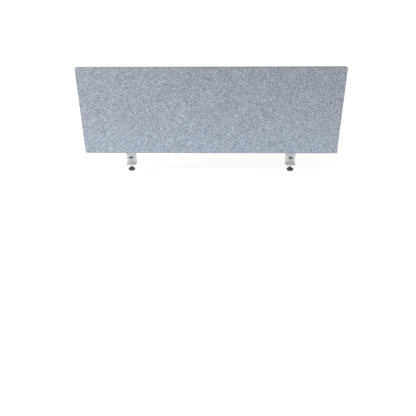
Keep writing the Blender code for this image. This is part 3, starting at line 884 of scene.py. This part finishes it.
def make_pull():
    """A flat tab with a window for the arch at its head and a hole near its foot."""
    low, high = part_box("zip_pull")
    middle, half = middle_of("zip_pull"), half_size("zip_pull")
    head, foot, foot_radius = high.z, low.z, half.y * 0.95
    turn = foot + foot_radius
    flank = [(foot_radius, turn + 0.004), (half.y * 0.80, head - 0.0085), (half.y, head - 0.0012)]
    edge = [(-half.y * 0.86, head), (half.y * 0.86, head), *reversed(flank)]
    edge += [(y, turn + z) for y, z in arc(foot_radius, 0, -180, 14)]
    edge += [(-y, z) for y, z in flank]
    window = [(-0.0018, 0), (0.0018, 0), (0.0018, -0.0033)]
    window += [(0.0012, -0.0040), (-0.0012, -0.0040), (-0.0018, -0.0033)]
    window = [(y, head - 0.0012 + z) for y, z in window]
    hole = [(y, foot + 0.0042 + z) for y, z in arc(0.0014, 0, 360, 20)[:-1]]
    verts, faces = filled((edge, window, hole), 2 * half.x, 0.00015)
    verts = [(middle.x + z, middle.y + x, y) for x, y, z in verts]
    sharpened(piece("zip_pull_tab", verts, faces, "zip_metal", "zip_pull", WELD))


# The clamps


def turned(node, name, profile, segments=64, radius_at=None, ring=False, slot="zinc_plated_steel"):
    """A piece turned about a CAD node's own upright axis."""
    shape = lathe(profile, axis_of(node), segments, radius_at, ring)
    sharpened(piece(name, *shape, slot, node))


def turned_back(node, name, profile, origin_y, radius_at=None, ring=False):
    """The same about Y, in zinc plate: the profile's heights run towards the back from origin_y."""
    verts, faces = lathe(profile, Vector(), 48, radius_at, ring)
    middle = middle_of(node)
    place = Vector((middle.x, origin_y, middle.z))
    verts = [place + Vector((v.x, v.z, -v.y)) for v in verts]
    sharpened(piece(name, verts, faces, "zinc_plated_steel", node))


def screw_thread(crest, root, pitch, top, bottom):
    """(profile rows, radius function) of a right-handed thread. Its rows have no radius of their own."""
    steps = 4 * int((top - bottom) / pitch)
    rows = [(None, top - (top - bottom) * i / steps) for i in range(steps + 1)]

    def radius(value, height, angle):
        if value is not None:
            return value
        phase = (height / pitch - angle / (2 * math.pi)) % 1
        rise = 1 - abs(2 * phase - 1)
        fade = min(1, (top - height) / pitch, (height - bottom) / pitch + 0.3)
        return root + (crest - root) * smoothstep(rise * 1.6 - 0.3) * fade

    return rows, radius


def make_spindle(side):
    """The spindle with its M8 thread, its plain neck and the ball in the cup."""
    node = f"{side}_spindle"
    low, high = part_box(node)
    ball = (high.x - low.x) / 2
    ball_z = high.z - ball
    root = 0.00345
    rows, radius = screw_thread(0.004, root, 0.00125, ball_z - 0.0069, low.z + 0.0006)
    profile = [(r, ball_z + z) for r, z in reversed(arc(ball, -42, 88, 12))]
    profile += [(0.0028, ball_z - 0.0034), (0.0028, ball_z - 0.0055), (root, ball_z - 0.0067)]
    profile += rows + [(root, low.z + 0.0003), (root * 0.8, low.z)]
    turned(node, f"{side}_threaded_spindle", profile, 32, radius)


def make_plate_screw(side, number):
    """A button-head screw with a hexagonal socket and a threaded shank."""
    node = f"{side}_plate_screw_{number}"
    low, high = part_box(node)
    head, head_height, root = (high.x - low.x) / 2, 0.0033, 0.0025
    tip = low.y - high.y + head_height
    rows, thread_radius = screw_thread(0.003, root, 0.001, -0.0012, tip + 0.0006)
    socket, floor, mouth = 0.0023, 0.0014, 0.0030
    profile = [(0.0002, floor - 0.0004), (socket, floor), (socket, mouth), (0.0027, head_height)]
    profile += [(0.0028 + 0.00245 * c, 0.0005 + 0.0028 * s) for c, s in reversed(arc(1, 0, 85, 7))]
    profile += [(head, 0.0003), (head - 0.0003, 0), (0.0032, 0), (0.0029, -0.0004), (0.0029, -0.0010)]
    profile += rows + [(root, tip + 0.0003), (root * 0.7, tip)]

    def radius(value, height, angle):
        if value == socket:
            turn = (angle + math.pi / 6) % (math.pi / 3) - math.pi / 6
            return socket * math.cos(math.pi / 6) / math.cos(turn)
        return thread_radius(value, height, angle)

    turned_back(node, f"{side}_button_screw_{number}", profile, high.y - head_height, radius)


def make_flat_washer(side, number):
    node = f"{side}_washer_{number}"
    low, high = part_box(node)
    outer, thick, bore, chamfer = (high.x - low.x) / 2, high.y - low.y, 0.0036, 0.0002
    profile = [(bore, 0), (outer - chamfer, 0), (outer, chamfer), (outer, thick - 2 * chamfer),
               (outer - 2 * chamfer, thick), (bore + chamfer, thick), (bore, thick - chamfer)]
    turned_back(node, f"{side}_flat_washer_{number}", profile, low.y, ring=True)


def make_boss(side):
    """The flanged, threaded boss that the spindle runs in, with a chamfered mouth and a fillet."""
    node = f"{side}_threaded_boss"
    low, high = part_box(node)
    flange, body, bore = (high.x - low.x) / 2, 0.007, 0.0043
    under, over = low.z + 0.0053, low.z + 0.0073
    profile = [
        (bore, low.z), (body - 0.0004, low.z), (body, low.z + 0.0004), (body, under),
        (flange - 0.0002, under), (flange, under + 0.0002), (flange, over - 0.0003),
        (flange - 0.0003, over), (body + 0.0007, over), (body + 0.0002, over + 0.0002),
        (body, over + 0.0007), (body, high.z - 0.0006), (body - 0.0002, high.z - 0.0002),
        (body - 0.0007, high.z), (bore + 0.0007, high.z), (bore, high.z - 0.0007),
    ]
    turned(node, f"{side}_spindle_boss", profile, ring=True)


def make_cup(side):
    """The swivel cup that holds the spindle's ball, spun with soft shoulders."""
    node = f"{side}_swivel_cup"
    low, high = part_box(node)
    ball_low, ball_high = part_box(f"{side}_spindle")
    ball = (ball_high.x - ball_low.x) / 2
    ball_z, cavity, rim = ball_high.z - ball, ball + 0.0003, (high.x - low.x) / 2
    mouth = 0.0036
    lowest = -math.degrees(math.acos(mouth / cavity))
    profile = [
        (0.001, high.z), (rim - 0.0005, high.z), (rim - 0.0001, high.z - 0.0002),
        (rim, high.z - 0.0006), (rim, high.z - 0.0027), (rim - 0.0002, high.z - 0.0033),
        (0.0094, low.z + 0.0031), (0.0087, low.z + 0.0025), (0.0084, low.z + 0.0019),
        (0.0080, low.z + 0.0004), (0.0077, low.z), (mouth + 0.0003, low.z),
        (mouth, low.z + 0.0003), *((r, ball_z + z) for r, z in arc(cavity, lowest, 86, 10)),
    ]
    turned(node, f"{side}_swivel_cup_shell", profile)


def make_pressure_pad(side):
    """The cup's rubber disc, with three round grooves in its face."""
    node = f"{side}_pad_rubber"
    low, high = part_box(node)
    rim, groove = (high.x - low.x) / 2, 0.0005
    profile = [
        (0.001, low.z), (rim - 0.0003, low.z), (rim, low.z + 0.0003), (rim, high.z - 0.0005),
        (rim - 0.0002, high.z - 0.0001), (rim - 0.0006, high.z),
    ]
    for middle in (0.0100, 0.0068, 0.0036):
        profile += [(middle + 0.0005, high.z), (middle + 0.0003, high.z - groove)]
        profile += [(middle - 0.0003, high.z - groove), (middle - 0.0005, high.z)]
    profile += [(0.001, high.z)]
    turned(node, f"{side}_pressure_disc", profile, 72, slot="rubber")


def make_jaw_lining(side):
    """The upper jaw's rubber, ribbed on the face that rests on the desk."""
    node = f"{side}_jaw_pad"
    low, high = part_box(node)
    ribs, depth = 13, 0.0004
    pitch = (high.y - low.y) / ribs
    outline = [(low.y, high.z), (high.y, high.z)]
    for i in range(ribs):
        y = high.y - i * pitch
        outline += [(y, low.z + depth), (y - 0.10 * pitch, low.z), (y - 0.72 * pitch, low.z)]
        outline += [(y - 0.82 * pitch, low.z + depth)]
    outline += [(low.y, low.z + depth)]
    shape = extruded(outline, low.x, high.x)
    sharpened(piece(f"{side}_jaw_lining", *shape, "rubber", node))


def make_hand_knob(side):
    """A six-lobed hand knob with a turned hub, soft edges and a dished underside."""
    node = f"{side}_knob"
    low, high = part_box(node)
    outer = (high.x - low.x) / 2
    grip_top = high.z - 0.007
    profile = [
        (0.0043, high.z - 0.006), (0.0043, high.z - 0.0004), (0.0047, high.z),
        (0.0080, high.z), (0.0088, high.z - 0.0004), (0.0093, high.z - 0.0014),
        (0.0102, grip_top + 0.0012), (0.0112, grip_top + 0.0003), (0.0124, grip_top),
        (outer * 0.80, grip_top - 0.0001),
        *((outer - 0.003 + r, grip_top - 0.003 + z) for r, z in reversed(arc(0.003, 0, 80, 6))),
        (outer, (low.z + grip_top) / 2),
        *((outer - 0.003 + r, low.z + 0.003 + z) for r, z in arc(0.003, 0, -80, 6)),
        (outer * 0.74, low.z), (outer * 0.66, low.z + 0.0004), (outer * 0.60, low.z + 0.0014),
        (outer * 0.3, low.z + 0.0018), (0.0010, low.z + 0.0018),
    ]
    mean, swing = 0.89, 0.11

    def radius(value, height, angle):
        share = smoothstep((value - 0.013) / 0.006)
        wave = math.cos(6 * angle)
        lobes = mean + swing * (1 - (1 - wave) ** 1.35 * 2 ** -0.35)
        return value * (1 + share * (lobes - 1))

    piece(f"{side}_hand_knob", *lathe(profile, axis_of(node), 96, radius), "moulded_knob", node)


def dress_clamps():
    for side in SIDES:
        rounded(f"{side}_clamp_plate", f"{side}_folded_plate", "painted_steel", 0.0006)
        make_jaw_lining(side)
        make_pressure_pad(side)
        make_cup(side)
        make_boss(side)
        for number in (1, 2, 3):
            make_plate_screw(side, number)
            make_flat_washer(side, number)
            dress(f"{side}_threaded_insert_{number}", "zinc_plated_steel")
        make_spindle(side)
        make_hand_knob(side)


# What the covers hide


def spaced(low, high, stops):
    """Even steps from low to high that land on each stop between them."""
    places = [low]
    for stop in sorted(place for place in (*stops, high) if place > low + 1e-6):
        start, count = places[-1], max(1, round((stop - places[-1]) / BATT_CELL))
        places += [start + (stop - start) * i / count for i in range(1, count + 1)]
    return places


def make_batt(node, name, slot, seed, notch=None):
    """A soft, slightly uneven slab in place of a CAD node. notch is the box of a piece that it goes round."""
    low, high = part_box(node)
    void_low, void_high = notch or (high, high)
    xs = spaced(low.x, high.x, [v.x for v in notch or ()])
    zs = spaced(low.z, high.z, [v.z for v in notch or ()])
    unevenness = undulation(seed)
    verts = []
    for z in zs:
        for x in xs:
            px, pz = round_corner(x, z)
            verts.append((px, (low.y + high.y) / 2 + BATT_WAVE * unevenness(x, z), pz))
    faces = []
    for face in grid_faces(len(zs), len(xs)):
        x, z = (sum(verts[i][axis] for i in face) / 4 for axis in (0, 2))
        if not (void_low.x < x < void_high.x and void_low.z < z < void_high.z):
            faces.append(face)
    obj = piece(name, verts, faces, slot, node)
    thickened(obj, high.y - low.y - BATT_PLAY, 0)
    return bevel(obj, 0.0008, 2, 60)


def make_wadding(node, seed):
    obj = make_batt(node, f"{node}_sheet", "wadding", seed)


def dress_inside():
    for node in NODES:
        if node.startswith(("frame_", "dowel_")) or node.endswith("_mounting_block"):
            dress(node, "frame_wood")
    for side, seed in zip(SIDES, (31, 33)):
        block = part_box(f"{side}_mounting_block")
        make_batt(f"{side}_acoustic_core", f"{side}_core_batt", "acoustic_core", seed, block)
    rounded("bottom_strip", "bottom_closing_strip", "bottom_strip", 0.0003)


# The stage


def make_stage():
    """A pale floor, lit softly from within, just below where the knobs come to when they are wound down."""
    low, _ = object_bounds()
    down = min(joint["range_m"][0] for joint in frame["joints"] if joint["name"].endswith("pad_slide"))
    z = low.z + down - FLOOR_GAP
    corners = [(x * FLOOR_REACH, y * FLOOR_REACH, z) for x, y in ((-1, -1), (1, -1), (1, 1), (-1, 1))]
    mesh = bpy.data.meshes.new("floor")
    mesh.from_pydata(corners, [], [(0, 1, 2, 3)])
    graph = Graph("pale_floor", 0.9, Emission_Strength=FLOOR_GLOW)
    graph.set(graph.shader, **{"Emission Color": (1.0, 1.0, 1.0, 1.0)})
    tone = graph.ramp(graph.noise(0.8, 2.0), (0.3, (0.88, 0.88, 0.88)), (0.7, (0.9, 0.9, 0.9)))
    mesh.materials.append(graph.finish(tone))
    floor = bpy.data.objects.new("floor", mesh)
    bpy.context.scene.collection.objects.link(floor)


def area_light(name, place, target, size, power, colour):
    """A softbox of size (width, height), hidden from the camera itself."""
    light = bpy.data.lights.new(name, "AREA")
    light.shape = "RECTANGLE"
    light.size, light.size_y = size
    light.energy = power
    light.color = colour
    obj = bpy.data.objects.new(name, light)
    obj.location = place
    obj.rotation_euler = (Vector(target) - Vector(place)).to_track_quat("-Z", "Y").to_euler()
    obj.visible_camera = False
    bpy.context.scene.collection.objects.link(obj)


def make_sky():
    """Even studio light, a little dimmer overhead than at the horizon."""
    world = bpy.data.worlds.new("studio")
    world.use_nodes = True
    tree = world.node_tree
    background = tree.nodes["Background"]
    place = tree.nodes.new("ShaderNodeTexCoord")
    split = tree.nodes.new("ShaderNodeSeparateXYZ")
    ramp = tree.nodes.new("ShaderNodeValToRGB")
    tree.links.new(place.outputs["Generated"], split.inputs[0])
    tree.links.new(split.outputs["Z"], ramp.inputs[0])
    tree.links.new(ramp.outputs[0], background.inputs["Color"])
    for element, colour in zip(ramp.color_ramp.elements, (SKY_LOW, SKY_HIGH)):
        element.color = (*colour, 1.0)
    bpy.context.scene.world = world


def light_scene():
    make_sky()
    bpy.context.scene.view_settings.view_transform = "Standard"
    area_light("left_softbox", (-2.0, -0.6, 1.3), (-0.4, 0, 0.35), (0.8, 0.8), 23, (1.0, 0.99, 0.97))
    area_light("low_reflector", (0.1, -0.4, -0.05), (0.1, 0, 0.05), (2.2, 0.1), 1.6, (0.76, 0.87, 1.0))


def make_camera():
    yaw, down, roll = (math.radians(a) for a in (CAMERA_YAW, CAMERA_DOWN, CAMERA_ROLL))
    forward = Vector((-math.sin(yaw) * math.cos(down), math.cos(yaw) * math.cos(down), -math.sin(down)))
    level = Vector((math.cos(yaw), math.sin(yaw), 0))
    upright = level.cross(forward)
    right = level * math.cos(roll) + upright * math.sin(roll)
    up = upright * math.cos(roll) - level * math.sin(roll)
    data = bpy.data.cameras.new("camera")
    data.lens = CAMERA_LENS
    camera = bpy.data.objects.new("camera", data)
    turn = Matrix((right, up, -forward)).transposed().to_4x4()
    camera.matrix_world = Matrix.Translation(CAMERA_AT) @ turn
    bpy.context.scene.collection.objects.link(camera)
    bpy.context.scene.camera = camera


def main():
    make_camera()
    covers = [
        make_cover("front_cover", FRONT, HEM_FRONT, 3),
        make_cover("rear_cover", BACK, HEM_REAR, 5),
    ]
    hems = [
        make_stitches("front_hem_stitches", HEM_FRONT - STITCH_INSET, 11),
        make_stitches("rear_hem_stitches", HEM_REAR + STITCH_INSET, 12),
    ]
    make_wadding("front_wadding", 21)
    make_wadding("rear_wadding", 23)
    make_zip_tape("front", 1)
    make_zip_tape("rear", -1)
    make_zip_chain()
    make_stop("zip_start_stop")
    make_stop("zip_end_stop")
    make_slider()
    make_pull()
    dress_inside()
    dress_clamps()
    light_scene()
    make_stage()


main()
